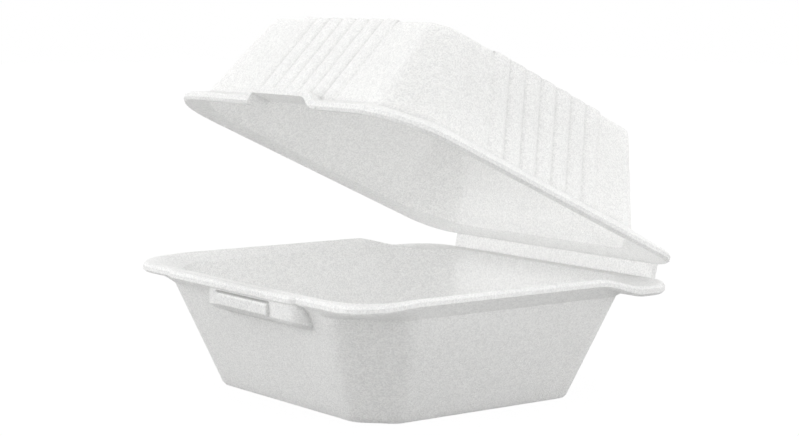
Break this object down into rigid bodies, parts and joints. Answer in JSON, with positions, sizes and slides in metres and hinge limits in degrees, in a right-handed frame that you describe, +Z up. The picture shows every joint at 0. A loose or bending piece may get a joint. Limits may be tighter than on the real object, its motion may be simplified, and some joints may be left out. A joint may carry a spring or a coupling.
{
  "type": "foam clamshell container",
  "caption": "Square hinged takeaway box of white foam: tapered tray with flared rim and front latch, and a fluted domed lid that stands ajar.",
  "frame": {"origin": "middle of the flat bottom of the tray, on the surface it stands on", "axes": "+X to the right, +Y to the back where the lid is hinged, +Z up; the latch faces -Y"},
  "size_m": [0.13, 0.136, 0.1217],
  "materials": {
    "foam": "fine-grained white expanded polystyrene foam, matt with a faint sparkle"
  },
  "bodies": {
    "base": {"base_tray": "foam"},
    "strip": {"hinge_strip": "foam"},
    "lid": {"lid": "foam"}
  },
  "joints": [
    {"name": "base_crease", "type": "hinge", "parent": "base", "child": "strip", "pos_m": [0, 0.0663, 0.036], "axis": [-1, 0, 0], "range_deg": [-12, 78]},
    {"name": "lid_crease", "type": "hinge", "parent": "strip", "child": "lid", "pos_m": [0, 0.06774, 0.04275], "axis": [-1, 0, 0], "range_deg": [-16, 82]}
  ],
  "couplings": [
    {"joint": "lid_crease", "follows": "base_crease", "ratio": 1}
  ]
}
